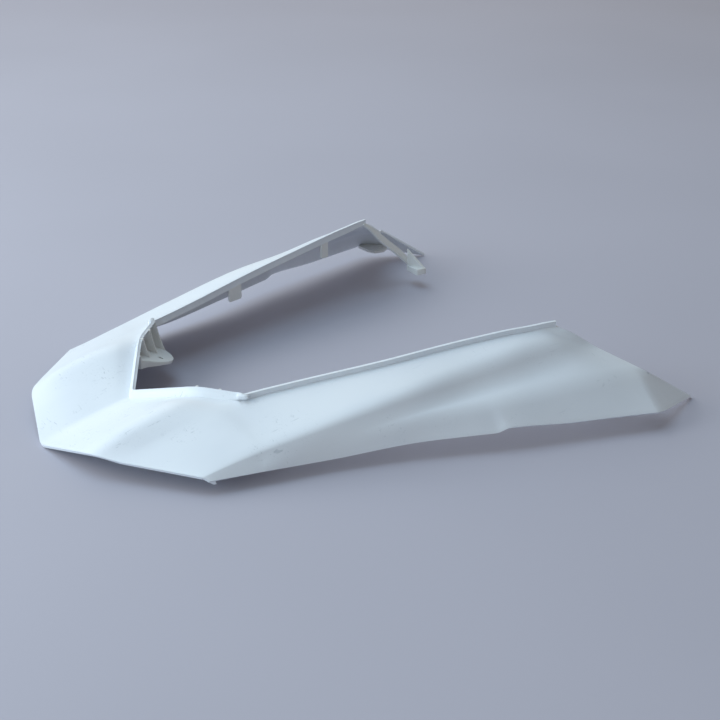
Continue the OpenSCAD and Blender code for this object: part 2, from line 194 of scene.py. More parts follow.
def joined(solids: list[Solid]) -> Solid:
    """Several closed solids as one mesh."""
    starts = np.cumsum([0] + [len(s.points) for s in solids[:-1]])
    return Solid(np.concatenate([s.points for s in solids]),
                 [f + start for s, start in zip(solids, starts) for f in s.faces])


def prism(outline: Array, thickness: Array) -> Solid:
    """An outline carried along a vector: the points p and p + v for each corner p.

    Args:
        outline: Corners in space, in order round the outline.
        thickness: The vector that the outline is carried along.

    Returns:
        The closed prism.
    """
    n = len(outline)
    ring = np.arange(n)
    return Solid(
        np.concatenate([outline, outline + thickness]),
        [strip(ring, ring + n, True), ring[None, ::-1], (ring + n)[None]],
    ).outward()


def ribbon(sections: Array) -> Solid:
    """A closed section carried along a path.

    Args:
        sections: One section for each place on the path: places by corners by coordinates.

    Returns:
        The closed solid, with a flat cap on each end.
    """
    rows, n = sections.shape[:2]
    index = np.arange(rows * n).reshape(rows, n)
    around = np.concatenate([index, index[:, :1]], axis=1)
    return Solid(sections.reshape(-1, 3), [grid_faces(around), index[:1], index[-1:, ::-1]]).outward()


def plate_with_bore(outline: Array, centre: Array, radius: float, low: float, high: float) -> Solid:
    """A level plate with a round bore.

    At angle a the top runs from the bore at centre + radius (cos a, sin a) to where the ray meets
    the outline, which is seen whole from the centre. The outline's own corners are among the rays.

    Args:
        outline: Corners in plan, in order.
        centre: The bore's centre in plan.
        radius: The bore's radius.
        low: Height of the lower face.
        high: Height of the upper face.

    Returns:
        The closed plate.
    """
    to_corner = outline - centre
    angles = np.concatenate([np.arctan2(to_corner[:, 1], to_corner[:, 0]), np.linspace(-np.pi, np.pi, 65)[:-1]])
    angles = np.sort(angles)
    angles = angles[np.append(True, np.diff(angles) > 0.01)]
    ray = np.stack([np.cos(angles), np.sin(angles)], axis=1)
    a, b = to_corner, np.roll(to_corner, -1, axis=0)
    side = b - a
    # A ray meets the side from a to b at distance r and share k: r ray = a + k side.
    det = ray[:, None, 0] * side[None, :, 1] - ray[:, None, 1] * side[None, :, 0]
    det = np.where(np.abs(det) < 1e-9, 1e-9, det)
    r = (a[None, :, 0] * side[None, :, 1] - a[None, :, 1] * side[None, :, 0]) / det
    k = (a[None, :, 0] * ray[:, None, 1] - a[None, :, 1] * ray[:, None, 0]) / det
    met = (r > 0) & (k > -1e-6) & (k < 1 + 1e-6)
    reach = np.where(met, r, np.inf).min(axis=1)
    rings = [centre + ray * radius, centre + ray * reach[:, None]]
    n = len(angles)
    flat = [np.column_stack([ring, np.full(n, z)]) for z in (high, low) for ring in rings]
    index = np.arange(4 * n).reshape(4, n)
    top_in, top_out, low_in, low_out = index
    return Solid(np.concatenate(flat), [
        strip(top_in, top_out, True)[:, ::-1], strip(top_out, low_out, True)[:, ::-1],
        strip(low_out, low_in, True)[:, ::-1], strip(low_in, top_in, True)[:, ::-1]]).outward()


# ---- The form of the fairing ----

# Half sections of the flank from the tail edge forward, as distance from the tail tip, from the
# centre and from the ground. In each: seat rim, shoulder, upper and lower crease, bottom edge.
FLANK = np.array([
    [[33, 86, 14.8], [76.5, 134.5, 12.6], [78, 136, 11.9], [79.5, 137.5, 11], [81, 139, 10]],
    [[58, 87, 23.5], [95, 135.2, 17], [95.5, 137.5, 14.5], [96, 139.5, 12], [97, 141.5, 9.6]],
    [[84, 87, 31], [114, 136.8, 21.5], [114, 139.5, 17.5], [113.5, 142, 13.5], [113.5, 144.5, 9.5]],
    [[110, 87.5, 36.5], [125, 138, 24], [124, 141, 18.5], [122, 144, 13.5], [122, 146, 9.5]],
    [[134, 87, 40], [134, 139, 26], [133, 142.5, 20], [131, 146, 14], [130, 147.5, 9.5]],
    [[178, 97, 45.5], [178, 145, 35], [178, 150, 26.5], [178, 153.5, 17.5], [179, 156, 9]],
    [[245, 115.5, 54], [245, 153, 48], [245, 160, 35], [245, 168, 29], [241, 172.5, 13]],
    [[300, 128, 61], [300, 155.5, 55], [300, 165, 39], [300, 181, 35], [302, 194.5, 14.7]],
    [[345, 139, 66], [345, 160, 62], [345, 170, 44.5], [345, 189.5, 37.5], [345, 207, 15.3]],
    [[368, 145, 67.6], [376, 161.5, 63.5], [390, 174, 51], [398, 198.5, 40], [398, 221.5, 14.8]],
    [[381, 148, 68.7], [392, 157, 62.5], [412, 167, 51.5], [437, 202, 38.5], [439, 233, 14]],
], float)
FRONT_EDGE = np.array([[391.5, 150.3, 69], [402, 156.5, 64.8], [420, 165, 51], [445, 203, 37], [500, 203, 0]], float)
# The tail between the flanks: centre valley and ridge of the first five sections.
TAIL = np.array([
    [[0, 0, 0], [16.5, 64.5, 17]],
    [[25, 0, 8], [38, 66, 28.5]],
    [[50, 0, 14.5], [66, 65, 37]],
    [[65, 0, 18], [91, 61, 41]],
    [[76, 0, 20], [108, 57, 38.8]],
], float)
REAR_AT = len(TAIL) - 1
CORNER_AT = len(FLANK) - 1


@dataclass(frozen=True)
class Form:
    """The fairing's form as functions of place along the part.

    Attributes:
        length: Length from the tail tip to the arm tips.
        wall: Thickness of the moulded wall.
        shoulder: Reach of the shoulder's rounding to each side.
        flank: Reach of the two flank creases' rounding.
        ridge: Reach of the tail ridges' rounding.
        valley: Reach of the centre valley's rounding.
        share: The most of a panel that one rounding takes.
        corner: Share of the last two sections that the soft front corner takes.
        lip: Height of the lip along the arms.
        band: Height of the outer ends of the band across the back of the opening.
        lean: How far the band's top leans into the opening.
        arch: Extra height of the band between the ridges.
        step_at: Distance from the tail tip to the step in the bottom edge.
        step_rise: Height of that step.
        step_run: Length over which it rises.
        step_fade: Length over which it fades forward.
        lift: How far the drawn sections are raised to stand on the ground.
    """

    length: float = 500.0
    wall: float = 2.5
    shoulder: float = 10.0
    flank: float = 9.0
    ridge: float = 11.0
    valley: float = 5.0
    share: float = 0.45
    corner: float = 0.2
    lip: float = 4.5
    band: float = 6.0
    lean: float = 3.4
    arch: float = 1.2
    step_at: float = 302.0
    step_rise: float = 3.0
    step_run: float = 10.0
    step_fade: float = 55.0
    lift: float = 1.7617

    def placed(self, p: Array) -> Array:
        """Drawn points in the part's frame: x less half the length, and z raised to the ground."""
        return np.asarray(p, float) + [-self.length / 2, 0, self.lift]

    def corners(self, s: Array) -> Array:
        """The five corners of the flank at each place.

        Up to the front corner they follow the smooth curve through the sections, and past it the
        straight line to the front edge. Within corner of it they follow the arc
        (1-t)^2 a + 2t(1-t) b + t^2 c. The bottom corner is raised by the step: a rise times
        ease(run) times (1 - ease(fade)).

        Args:
            s: Places, counted in sections from the tail edge.

        Returns:
            An array of places, corners and coordinates.
        """
        def sharp(place: Array) -> Array:
            """The corners without the soft front corner."""
            ahead = np.clip(place - CORNER_AT, 0, 1)[:, None, None]
            curve = through(FLANK, np.minimum(place, CORNER_AT))
            return np.where(ahead > 0, FLANK[-1] * (1 - ahead) + FRONT_EDGE * ahead, curve)

        t = np.clip((s - CORNER_AT + self.corner) / (2 * self.corner), 0, 1)[:, None, None]
        a, b, c = (sharp(np.full(len(s), CORNER_AT + d)) for d in (-self.corner, 0.0, self.corner))
        soft = (1 - t) ** 2 * a + 2 * t * (1 - t) * b + t**2 * c
        p = np.where(np.abs(s - CORNER_AT)[:, None, None] < self.corner, soft, sharp(s))
        run = (p[:, 4, 0] - self.step_at) / self.step_run
        fade = (p[:, 4, 0] - self.step_at - self.step_run) / self.step_fade
        p[:, 4, 2] += np.where(run > 0, self.step_rise * ease(run) * (1 - ease(fade)), 0)
        return self.placed(p)

    def back_edge(self) -> Array:
        """The opening's back edge on the left: its outer corner, its ridge and its valley."""
        corner = self.corners(np.array([float(REAR_AT)]))[0, 0]
        return np.array([corner, self.placed(TAIL[REAR_AT, 1]), self.placed(TAIL[REAR_AT, 0])])

    def flank_rows(self, s: Array) -> Array:
        """The flank's section at each place, from the seat rim down to the bottom edge."""
        c = np.moveaxis(self.corners(s), 1, 0)
        shoulder = arc(c[0], c[1], c[2], self.shoulder, self.share, 10)
        upper = arc(c[1], c[2], c[3], self.flank, self.share, 10)
        lower = arc(c[2], c[3], c[4], self.flank, self.share, 10)
        return np.concatenate([
            c[0][:, None], straight(c[0], shoulder[:, 0], 6), shoulder,
            straight(shoulder[:, -1], upper[:, 0], 6), upper, straight(upper[:, -1], lower[:, 0], 5), lower,
            straight(lower[:, -1], c[4], 7), c[4][:, None]], axis=1)

    def tail_rows(self, s: Array) -> Array:
        """The whole section of the tail at each place, from the right bottom edge to the left one.

        The valley is half of the arc between its two shores, of which the left one lies a rounding's
        reach from the centre towards the ridge.
        """
        valley, ridge = (self.placed(through(TAIL[:, k], s)) for k in (0, 1))
        rim = self.corners(s)[:, 0]
        shore = valley + unit(ridge - valley) * self.valley
        bowl = arc(shore * MIRROR, valley, shore, 1e3, 1.0, 8)[:, 4:]
        crest = arc(valley, ridge, rim, self.ridge, self.share, 12)
        half = np.concatenate([
            bowl, straight(shore, crest[:, 0], 9), crest, straight(crest[:, -1], rim, 5), self.flank_rows(s)], axis=1)
        return np.concatenate([half[:, :0:-1] * MIRROR, half], axis=1)

    def normals(self, rows: str, s: Array, last: float) -> Array:
        """Mitred outward normals: (n1 + n2) / (1 + n1.n2), from the two panels beside each point.

        Each panel's normal is the cross product of the way along the part, from the rows just
        behind and ahead, and the way across the panel.

        Args:
            rows: Name of the method that gives the rows.
            s: Places of the rows.
            last: The last place of this grid.

        Returns:
            One vector for each point. A wall's thickness times it leads to the inner face.
        """
        section = getattr(self, rows)
        low = 0.0 if rows == "tail_rows" else -1.0
        here = section(s)
        along = section(np.minimum(s + 0.02, last)) - section(np.maximum(s - 0.02, low))
        across = np.diff(here, axis=1)
        before = np.concatenate([across[:, :1], across], axis=1)
        after = np.concatenate([across, across[:, -1:]], axis=1)
        n1, n2 = unit(np.cross(along, before)), unit(np.cross(along, after))
        return (n1 + n2) / (1 + dot(n1, n2))


# ---- Finish ----


class Wear(Enum):
    """How much a piece has been handled."""

    OUTSIDE = 1.0
    FITTING = 0.35


@dataclass(frozen=True)
class Spot:
    """A scuffed place on the shell: its centre in metres, its radius and its strength."""

    centre: Triple
    radius: float
    strength: float


# The small dark scuffs on the right arm, near its front edge.
SCUFFED = (
    Spot((0.1485, -0.2014, 0.0386), 0.0045, 1.0),
    Spot((0.1606, -0.202, 0.0394), 0.0055, 1.0),
    Spot((0.198, -0.2024, 0.0362), 0.0025, 0.9),
)


class Wiring:
    """Short calls to add and join nodes in one tree."""

    def __init__(self, tree: bpy.types.NodeTree) -> None:
        """Work on that tree."""
        self.tree = tree

    def add(self, kind: str, feeds: dict[str | int, object] | None = None, **values: object) -> bpy.types.Node:
        """Add a node, set its own properties by name, and feed its inputs by name or number."""
        node = self.tree.nodes.new(kind)
        for key, value in values.items():
            setattr(node, key, value)
        for key, value in (feeds or {}).items():
            self.feed(node.inputs[key], value)
        return node

    def feed(self, target: Socket, value: object) -> None:
        """Set an input to a value, or link an output to it."""
        if isinstance(value, Socket):
            self.tree.links.new(value, target)
        else:
            target.default_value = value

    def math(self, operation: str, a: object, b: object = 0.0) -> Socket:
        """The result of a Math node on two values or sockets."""
        return self.add("ShaderNodeMath", {0: a, 1: b}, operation=operation).outputs[0]

    def noise(self, vector: Socket, scale: float, detail: float, stretch: Triple = (1, 1, 1),
              turn: Triple = (0, 0, 0), rough: float = 0.5) -> Socket:
        """Noise of that scale, stretched and turned by a Mapping node."""
        placed = self.add("ShaderNodeMapping", {"Vector": vector, "Scale": stretch, "Rotation": turn})
        return self.add("ShaderNodeTexNoise", {
            "Vector": placed.outputs[0], "Scale": scale, "Detail": detail, "Roughness": rough}).outputs["Fac"]

    def between(self, value: object, low: float, high: float, to_low: float = 0.0, to_high: float = 1.0) -> Socket:
        """A smooth step of a value from low to high, put out from to_low to to_high."""
        return self.add("ShaderNodeMapRange", {
            "Value": value, "From Min": low, "From Max": high, "To Min": to_low, "To Max": to_high},
            interpolation_type="SMOOTHSTEP").outputs[0]

    def mixed(self, factor: object, a: object, b: object) -> Socket:
        """The colour a + factor (b - a)."""
        return self.add("ShaderNodeMix", {"Factor": factor, 6: a, 7: b}, data_type="RGBA").outputs[2]


class Group(Wiring):
    """A shader node group that takes a Vector and has named sockets besides."""

    def __init__(self, name: str, numbers_in: tuple[str, ...], numbers_out: tuple[str, ...]) -> None:
        """An empty group.

        Args:
            name: The group's name.
            numbers_in: Names of its number inputs.
            numbers_out: Names of its number outputs.
        """
        super().__init__(bpy.data.node_groups.new(name, "ShaderNodeTree"))
        sockets = [("Vector", "INPUT", "NodeSocketVector")]
        sockets += [(key, "INPUT", "NodeSocketFloat") for key in numbers_in]
        sockets += [(key, "OUTPUT", "NodeSocketFloat") for key in numbers_out]
        for key, way, kind in sockets:
            self.tree.interface.new_socket(name=key, in_out=way, socket_type=kind)
        self.given = self.add("NodeGroupInput").outputs
        self.put_out = self.add("NodeGroupOutput").inputs


def scuff_group() -> bpy.types.NodeTree:
    """Hair scratches, speckles and smudges: stretched and plain noises, in broad worn patches.

    Returns:
        A group with a Vector and an Amount, whose Mask is 1 on a mark and 0 between the marks.
    """
    g = Group("scuffs", ("Amount",), ("Mask",))
    vector = g.given["Vector"]
    hair = g.between(g.noise(vector, 620, 2, (1, 0.10, 1), (0, 0, 0.9)), 0.64, 0.74)
    cross = g.between(g.noise(vector, 560, 2, (0.10, 1, 0.6), (0, 0, -0.35)), 0.65, 0.75)
    smudge = g.between(g.noise(vector, 240, 4, rough=0.65), 0.59, 0.72)
    speck = g.math("MAXIMUM", g.between(g.noise(vector, 800, 1), 0.68, 0.78), g.math("MULTIPLY", smudge, 0.55))
    patch = g.between(g.noise(vector, 26, 3, rough=0.6), 0.46, 0.62)
    marks = g.math("MAXIMUM", g.math("MAXIMUM", hair, cross), g.math("MULTIPLY", speck, 0.8))
    g.feed(g.put_out["Mask"], g.math("MULTIPLY", g.math("MULTIPLY", marks, patch), g.given["Amount"]))
    return g.tree


def mottle_group() -> bpy.types.NodeTree:
    """Faint unevenness of a moulded surface: broad flow clouds and a fine orange-peel grain.

    Returns:
        A group with a Vector, whose Cloud is a soft mask and whose Grain is a height.
    """
    g = Group("moulding", (), ("Cloud", "Grain"))
    cloud = g.noise(g.given["Vector"], 9, 3, (1, 1.6, 1), rough=0.55)
    g.feed(g.put_out["Cloud"], g.between(cloud, 0.3, 0.7))
    g.feed(g.put_out["Grain"], g.noise(g.given["Vector"], 900, 2))
    return g.tree


@dataclass(frozen=True)
class MouldedPlastic:
    """White satin plastic, as it came from the mould and after some handling.

    Attributes:
        name: The material's name.
        groups: The shared node groups, by name.
        clean: Colour of the clean plastic. In the fittings' copy it is set greyer and warmer: painted shade, the
            olive grey of the shaded hollow under the arms.
        aged: Colour of its faint clouds. In the fittings' copy it carries the same painted shade.
        mark: Colour of dirt in the scratches.
        gloss: Roughness of the clean plastic.
        wear: How much of the scratches shows.
        spots: Places that were scuffed harder.
    """

    name: str
    groups: dict[str, bpy.types.NodeTree]
    clean: Triple = (0.765, 0.805, 0.85)
    aged: Triple = (0.72, 0.765, 0.82)
    mark: Triple = (0.40, 0.45, 0.50)
    gloss: float = 0.38
    wear: Wear = Wear.OUTSIDE
    spots: tuple[Spot, ...] = ()

    def make(self) -> bpy.types.Material:
        """Build the material on Object coordinates.

        Returns:
            The material.
        """
        material = bpy.data.materials.new(self.name)
        material.use_nodes = True
        w = Wiring(material.node_tree)
        shader = material.node_tree.nodes["Principled BSDF"].inputs
        shader["IOR"].default_value = 1.52
        shader["Metallic"].default_value = 0.0
        vector = w.add("ShaderNodeTexCoord").outputs["Object"]
        moulding = w.add("ShaderNodeGroup", {"Vector": vector}, node_tree=self.groups["moulding"]).outputs
        # The tail was handled most: the scratches fade forward of it.
        along = w.add("ShaderNodeSeparateXYZ", {0: vector}).outputs["X"]
        amount = w.between(along, -0.17, 0.02, self.wear.value, 0.32 * self.wear.value)
        dirt = w.add("ShaderNodeGroup", {"Vector": vector, "Amount": amount},
                     node_tree=self.groups["scuffs"]).outputs["Mask"]
        for spot in self.spots:
            dirt = w.math("MAXIMUM", dirt, self.scuffed_place(w, vector, spot))
        colour = w.mixed(moulding["Cloud"], (*self.clean, 1), (*self.aged, 1))
        w.feed(shader["Base Color"], w.mixed(w.math("MULTIPLY", dirt, 0.55), colour, (*self.mark, 1)))
        w.feed(shader["Roughness"], w.math(
            "ADD", w.math("MULTIPLY", dirt, 0.18),
            w.between(moulding["Cloud"], 0, 1, self.gloss - 0.03, self.gloss + 0.05)))
        height = w.math("SUBTRACT", w.math("MULTIPLY", moulding["Grain"], 0.3), dirt)
        bump = w.add("ShaderNodeBump", {"Strength": 0.10, "Distance": 0.0004, "Height": height})
        w.feed(shader["Normal"], bump.outputs["Normal"])
        return material

    @staticmethod
    def scuffed_place(w: Wiring, vector: Socket, spot: Spot) -> Socket:
        """Streaks of one scuffed place: a ball that fades outwards, times a coarse streaky noise."""
        gap = w.add("ShaderNodeVectorMath", {0: vector, 1: spot.centre}, operation="DISTANCE")
        ball = w.between(gap.outputs["Value"], 0.25 * spot.radius, spot.radius, spot.strength, 0.0)
        streak = w.between(w.noise(vector, 330, 2, (0.35, 1, 1), (0, 0, 0.2)), 0.46, 0.58)
        return w.math("MULTIPLY", ball, streak)


# ---- Pieces ----


def new_object(name: str, data: bpy.types.ID) -> bpy.types.Object:
    """A new object of that name and data, linked to the scene."""
    made = bpy.data.objects.new(name, data)
    bpy.context.scene.collection.objects.link(made)
    return made


@dataclass
class Piece:
    """A piece of the moulding, with what every piece needs to be built and dressed.

    Attributes:
        name: The object's name.
        form: The fairing's form, which places the piece.
        material: Its finish.
        edge: Rounding of its edges.
    """

    name: str
    form: Form
    material: bpy.types.Material
    edge: float = 0.4

    def solid(self) -> Solid:
        """The piece's closed surface."""
        raise NotImplementedError

    def build(self) -> bpy.types.Object:
        """Make the mesh, round its edges, dress it and let it ride on the body.

        Returns:
            The finished object, at the origin with its place in its mesh.
        """
        solid = self.solid()
        mesh = bpy.data.meshes.new(self.name)
        mesh.from_pydata((solid.points * MM).tolist(), [], [f for part in solid.faces for f in part.tolist()])
        mesh.shade_smooth()
        mesh.materials.append(self.material)
        piece = new_object(self.name, mesh)
        self.round_edges(piece)
        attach(piece, BODY)
        LOG.info("%s: %d points, %d faces", self.name, len(mesh.vertices), len(mesh.polygons))
        return piece

    def round_edges(self, piece: bpy.types.Object) -> None:
        """Round the edges where two faces meet at more than 35 degrees."""
        bevel = piece.modifiers.new("edge_rounding", "BEVEL")
        bevel.width = self.edge * MM
        bevel.segments = 2
        bevel.limit_method = "ANGLE"
        bevel.angle_limit = math.radians(35)
        bevel.harden_normals = True


@dataclass
class Fitting(Piece):
    """A small moulding that is drawn on the left and stands on either side.

    Attributes:
        side: The side that it stands on.
    """

    side: Side = Side.LEFT

    def drawn(self) -> Solid:
        """The closed surface as drawn, on the left."""
        raise NotImplementedError

    def solid(self) -> Solid:
        """The closed surface on its side."""
        return self.drawn().on(self.side)


@dataclass
class Shell(Piece):
    """The skin with its upstanding lip, one closed wall of constant thickness.

    Attributes:
        fade: Length of arm, in sections, over which the band falls to the lip.
        tail_steps: Rows over the tail.
        arm_steps: Rows along each arm up to its front corner.
    """

    fade: float = 0.12
    tail_steps: int = 48
    arm_steps: int = 118

    def places(self) -> tuple[Array, Array]:
        """Places of the rows over the tail and along the arm, closer together at the front corner."""
        soft = self.form.corner
        arm = np.concatenate([
            np.linspace(REAR_AT, CORNER_AT - soft, self.arm_steps + 1)[1:],
            np.linspace(CORNER_AT - soft, CORNER_AT + soft, 9)[1:],
            np.linspace(CORNER_AT + soft, CORNER_AT + 1, 9)[1:]])
        return np.linspace(0, REAR_AT, self.tail_steps + 1), arm

    def lip_tops(self, opening: Array, along: Array, arm: Array) -> Array:
        """The lip's upper edge over each point of the opening.

        It stands at foot + inward lean b + up (lip (1 - b) + (band + arch c) b), where b is the
        band's share, which falls to 0 over fade past the corners, and c is 1 between the ridges
        and falls to 0 towards the corners.

        Args:
            opening: Points of the opening's edge, from the right arm's front end to the left one's.
            along: The way along the edge at each point.
            arm: Places of the arm's rows.

        Returns:
            One point over each.
        """
        inward = unit(np.stack([along[:, 1], -along[:, 0], np.zeros(len(along))], axis=1))
        arm_share = ease(1 - (arm - REAR_AT) / self.fade)
        inner = len(opening) - 2 * len(arm)
        share = np.concatenate([arm_share[::-1], np.ones(inner), arm_share])[:, None]
        ridge, end = TAIL[REAR_AT, 1, 1], FLANK[REAR_AT, 0, 1]
        crown = 1 - ease((np.abs(opening[:, 1:2]) - ridge) / (end - ridge))
        rise = self.form.lip * (1 - share) + (self.form.band + self.form.arch * crown) * share
        return opening + inward * self.form.lean * share + rise * UP

    def solid(self) -> Solid:
        """The outer face, the same points set in by the wall, and the free edge between them."""
        tail_s, arm_s = self.places()
        tail, tail_n = self.form.tail_rows(tail_s), self.form.normals("tail_rows", tail_s, REAR_AT)
        left, left_n = self.form.flank_rows(arm_s), self.form.normals("flank_rows", arm_s, CORNER_AT + 1)
        tails, across = tail.shape[:2]
        arms, side = left.shape[:2]
        on_tail = np.arange(tails * across).reshape(tails, across)
        on_arm = tails * across + np.arange(arms * side).reshape(arms, side)
        on_right = np.vstack([on_tail[-1, :side], on_arm])
        on_left = np.vstack([on_tail[-1, -side:], on_arm + arms * side])
        rim = np.concatenate([on_right[:0:-1, -1], on_tail[-1, side - 1:across - side + 1], on_left[1:, 0]])
        skin, set_in = (np.concatenate([a.reshape(-1, 3), (b * MIRROR)[:, ::-1].reshape(-1, 3), b.reshape(-1, 3)])
                        for a, b in ((tail, left), (tail_n, left_n)))

        opening = skin[rim]
        along = np.concatenate([opening[1:], opening[-1:]]) - np.concatenate([opening[:1], opening[:-1]])
        top = self.lip_tops(opening, along, arm_s)
        lip_n = unit(np.cross(top - opening, along))
        skin_n = unit(set_in[rim])
        set_in[rim] = (skin_n + lip_n) / (1 + dot(skin_n, lip_n))
        outer = np.concatenate([skin, (opening + top) / 2, top])
        normals = np.concatenate([set_in, lip_n, lip_n])
        on_middle = len(skin) + np.arange(len(rim))
        on_top = on_middle + len(rim)
        quads = np.concatenate([
            grid_faces(on_tail), grid_faces(on_right), grid_faces(on_left),
            grid_faces(np.stack([rim, on_middle, on_top], axis=1))])
        edge = np.concatenate([
            on_tail[0], on_tail[1:, -1], on_left[1:, -1], on_left[-1, -2:0:-1], rim[-1:], on_middle[-1:],
            on_top[::-1], on_middle[:1], rim[:1], on_right[-1, -2:0:-1], on_right[:0:-1, 0], on_tail[-1:0:-1, 0]])
        total = len(outer)
        return Solid(
            np.concatenate([outer, outer - self.form.wall * normals]),
            [quads, quads[:, ::-1] + total, strip(edge, edge + total, True)]).outward()

    def round_edges(self, piece: bpy.types.Object) -> None:
        """Round the free edges and the foot of the lip, without touching the soft creases."""
        super().round_edges(piece)
        bevel = piece.modifiers["edge_rounding"]
        bevel.harden_normals = False
        bevel.segments = 3


@dataclass
class Bracket(Fitting):
    """A screw bracket: ribs behind the band, a sloping pad with a rounded nose and bore, a skirt.

    It is drawn in a frame of its own: u along the back edge of the opening from its outer corner
    towards the centre, w into the opening and z up.

    Attributes:
        bore: Diameter of the screw hole.
        pad: Thickness of the pad.
        pad_z: Height of the pad's outer end above the ground.
        rise: Slope of the pad towards the centre.
        fall: Slope of the pad into the opening.
        rib: Thickness of a rib.
        pitch: Spacing of the ribs.
        ribs: Number of ribs.
    """

    bore: float = 4.5
    pad: float = 3.0
    pad_z: float = 20.0
    rise: float = 0.25
    fall: float = 0.3
    rib: float = 2.0
    pitch: float = 19.4
    ribs: int = 4

    # The bore's centre, and the pad's front edge in plan between its outer end and the last rib.
    BORE_AT = np.array([28.0, 18.6])
    PAD_FRONT = [[5, 20], [10.5, 24], [15.5, 26.5], [23, 27.5], [30.5, 26.4], [39, 23.2], [46.5, 18.3], [53, 13.4]]
    # How far the pad reaches: behind the skin's edge, and into the opening at its outer and inner end.
    PAD_BACK, PAD_REACH, PAD_INNER = 4.0, 13.0, 10.5
    # The skirt's lower edge over u, for a pad drawn that high, its thickness and its first point of the front edge.
    SKIRT_LOW = np.array([[26, 21.2], [42, 24.4], [52, 26.9], [60.2, 28.3]])
    SKIRT_PAD_Z, SKIRT = 20.0, 2.2
    SKIRT_FROM = 20
    # The share of the skin's wall that the plates are sunk into it.
    SUNK = 0.65

    def __post_init__(self) -> None:
        """Work out the frame from the corner, the ridge and the valley of the opening's back edge."""
        self.corner, self.ridge, self.valley = self.form.back_edge()
        flat = (self.ridge - self.corner) * LEVEL
        self.back = float(np.linalg.norm(flat))
        self.along = flat / self.back
        self.into = np.array([-self.along[1], self.along[0], 0])
        self.valley_u = float((self.valley - self.corner) @ self.along)
        self.valley_w = float((self.valley - self.corner) @ self.into)
        self.end = (self.ribs - 1) * self.pitch + self.rib / 2

    def past_ridge(self, u: Array) -> Array:
        """How far past the ridge u is, as a share of the way to the valley."""
        return np.maximum(0, (np.asarray(u, float) - self.back) / (self.valley_u - self.back))

    def edge_w(self, u: Array) -> Array:
        """Where the skin's edge stands into the opening at u."""
        return self.valley_w * self.past_ridge(u)

    def edge_z(self, u: Array) -> Array:
        """Height of the skin's edge at u: straight to the ridge, and straight on to the valley."""
        u = np.asarray(u, float)
        return (self.corner[2] + (self.ridge[2] - self.corner[2]) * np.minimum(u / self.back, 1)
                + (self.valley[2] - self.ridge[2]) * self.past_ridge(u))

    def pad_top(self, u: Array, w: Array) -> Array:
        """Height of the pad's upper face: pad_z + rise u - fall (w - reach)."""
        return self.pad_z + self.rise * np.asarray(u, float) - self.fall * (np.asarray(w, float) - self.PAD_REACH)

    def pad_front(self) -> Array:
        """The pad's front edge in plan, as a smooth path from the outer end to the last rib."""
        ends = [-self.rib / 2, self.PAD_REACH], [self.end, self.PAD_INNER]
        return smooth_path(np.array([ends[0], *self.PAD_FRONT, ends[1]]), 4)

    def band_foot(self, u: float) -> Array:
        """The middle of the band's wall at its foot, as (w, z)."""
        out = np.array([self.form.band, -self.form.lean])
        return np.array([self.edge_w(u), self.edge_z(u)]) + unit(out) * self.form.wall / 2

    def band_top(self, u: float) -> Array:
        """The middle of the band's wall at its top, as (w, z)."""
        return self.band_foot(u) + [self.form.lean, self.form.band + self.form.arch * ease(u / self.back)]

    def across(self, u: float, profile: list[Array]) -> Solid:
        """A plate across the bracket at u, of that outline in (w, z) and as thick as a rib."""
        return prism(np.array([[u - self.rib / 2, w, z] for w, z in profile]), np.array([self.rib, 0, 0]))

    def rib_at(self, u: float, lead: float) -> Solid:
        """A rib whose upper edge leaves the band's top almost level for lead and falls to the pad.

        Its long edge sags a little: a straight line less 0.5 sin(pi t).
        """
        foot, top = self.band_foot(u), self.band_top(u)
        start = top + [lead, -0.1 * lead]
        end = np.array([self.PAD_REACH, self.pad_top(u, self.PAD_REACH) - self.pad / 2])
        t = np.linspace(0, 1, 9)[:, None]
        sag = start * (1 - t) + end * t - 0.5 * np.sin(np.pi * t)
        return self.across(u, [
            np.array([-self.PAD_BACK, self.edge_z(u) - self.SUNK * self.form.wall]), foot, top, *sag,
            np.array([-self.PAD_BACK, self.pad_top(u, -self.PAD_BACK) - self.pad / 2])])

    def skirt_foot(self, u: Array) -> Array:
        """Height of the skirt's lower edge at u."""
        return self.pad_z - self.SKIRT_PAD_Z + np.interp(u, self.SKIRT_LOW[:, 0], self.SKIRT_LOW[:, 1])

    def pad_plate(self) -> Solid:
        """The pad with its bore, tilted to its slopes."""
        inner = [[u, float(self.edge_w(u)) + d] for u, d in ((self.end, 3), (50, 2.5), (42, 1))]
        back = [[36, -self.PAD_BACK], [-self.rib / 2, -self.PAD_BACK]]
        plate = plate_with_bore(
            np.array([*self.pad_front(), *inner, *back]), self.BORE_AT, self.bore / 2, -self.pad, 0)
        return plate.moved(self.tilt(), self.pad_top(0, 0) * UP)

    def skirt(self) -> Solid:
        """The skirt under the pad's front edge, from the nose to the last rib."""
        hem = self.pad_front()[self.SKIRT_FROM:]
        back = hem - np.array([0.15, 1]) * self.SKIRT
        level = self.pad_top(hem[:, 0], hem[:, 1]) - self.pad / 4
        foot = np.minimum(self.skirt_foot(hem[:, 0]), level - 0.3)
        corners = (hem, foot), (hem, level), (back, level), (back, foot)
        return ribbon(np.stack([np.column_stack([edge, z]) for edge, z in corners], axis=1))

    def back_wall(self) -> Solid:
        """The wall behind the ribs, from the skin's edge down to the pad."""
        u = np.array([-self.rib / 2, self.back, self.back + self.rib])
        low = self.pad_top(u[[2, 0]], -self.PAD_BACK) - 0.7 * self.pad
        high = self.edge_z(u) - self.SUNK * self.form.wall
        outline = np.column_stack([u[[0, 1, 2, 2, 0]], np.full(5, -self.PAD_BACK), np.append(high, low)])
        return prism(outline, np.array([0, self.rib, 0]))

    def closing_rib(self) -> Solid:
        """The last rib, which closes the bracket from the band's top down to the skirt's foot."""
        last = (self.ribs - 1) * self.pitch
        foot, top, low = self.band_foot(last), self.band_top(last), self.skirt_foot(last)
        return self.across(last, [
            foot, top, np.array([self.PAD_INNER, top[1] - 2.6]), np.array([self.PAD_INNER, low]),
            np.array([top[0] - 1, low])])

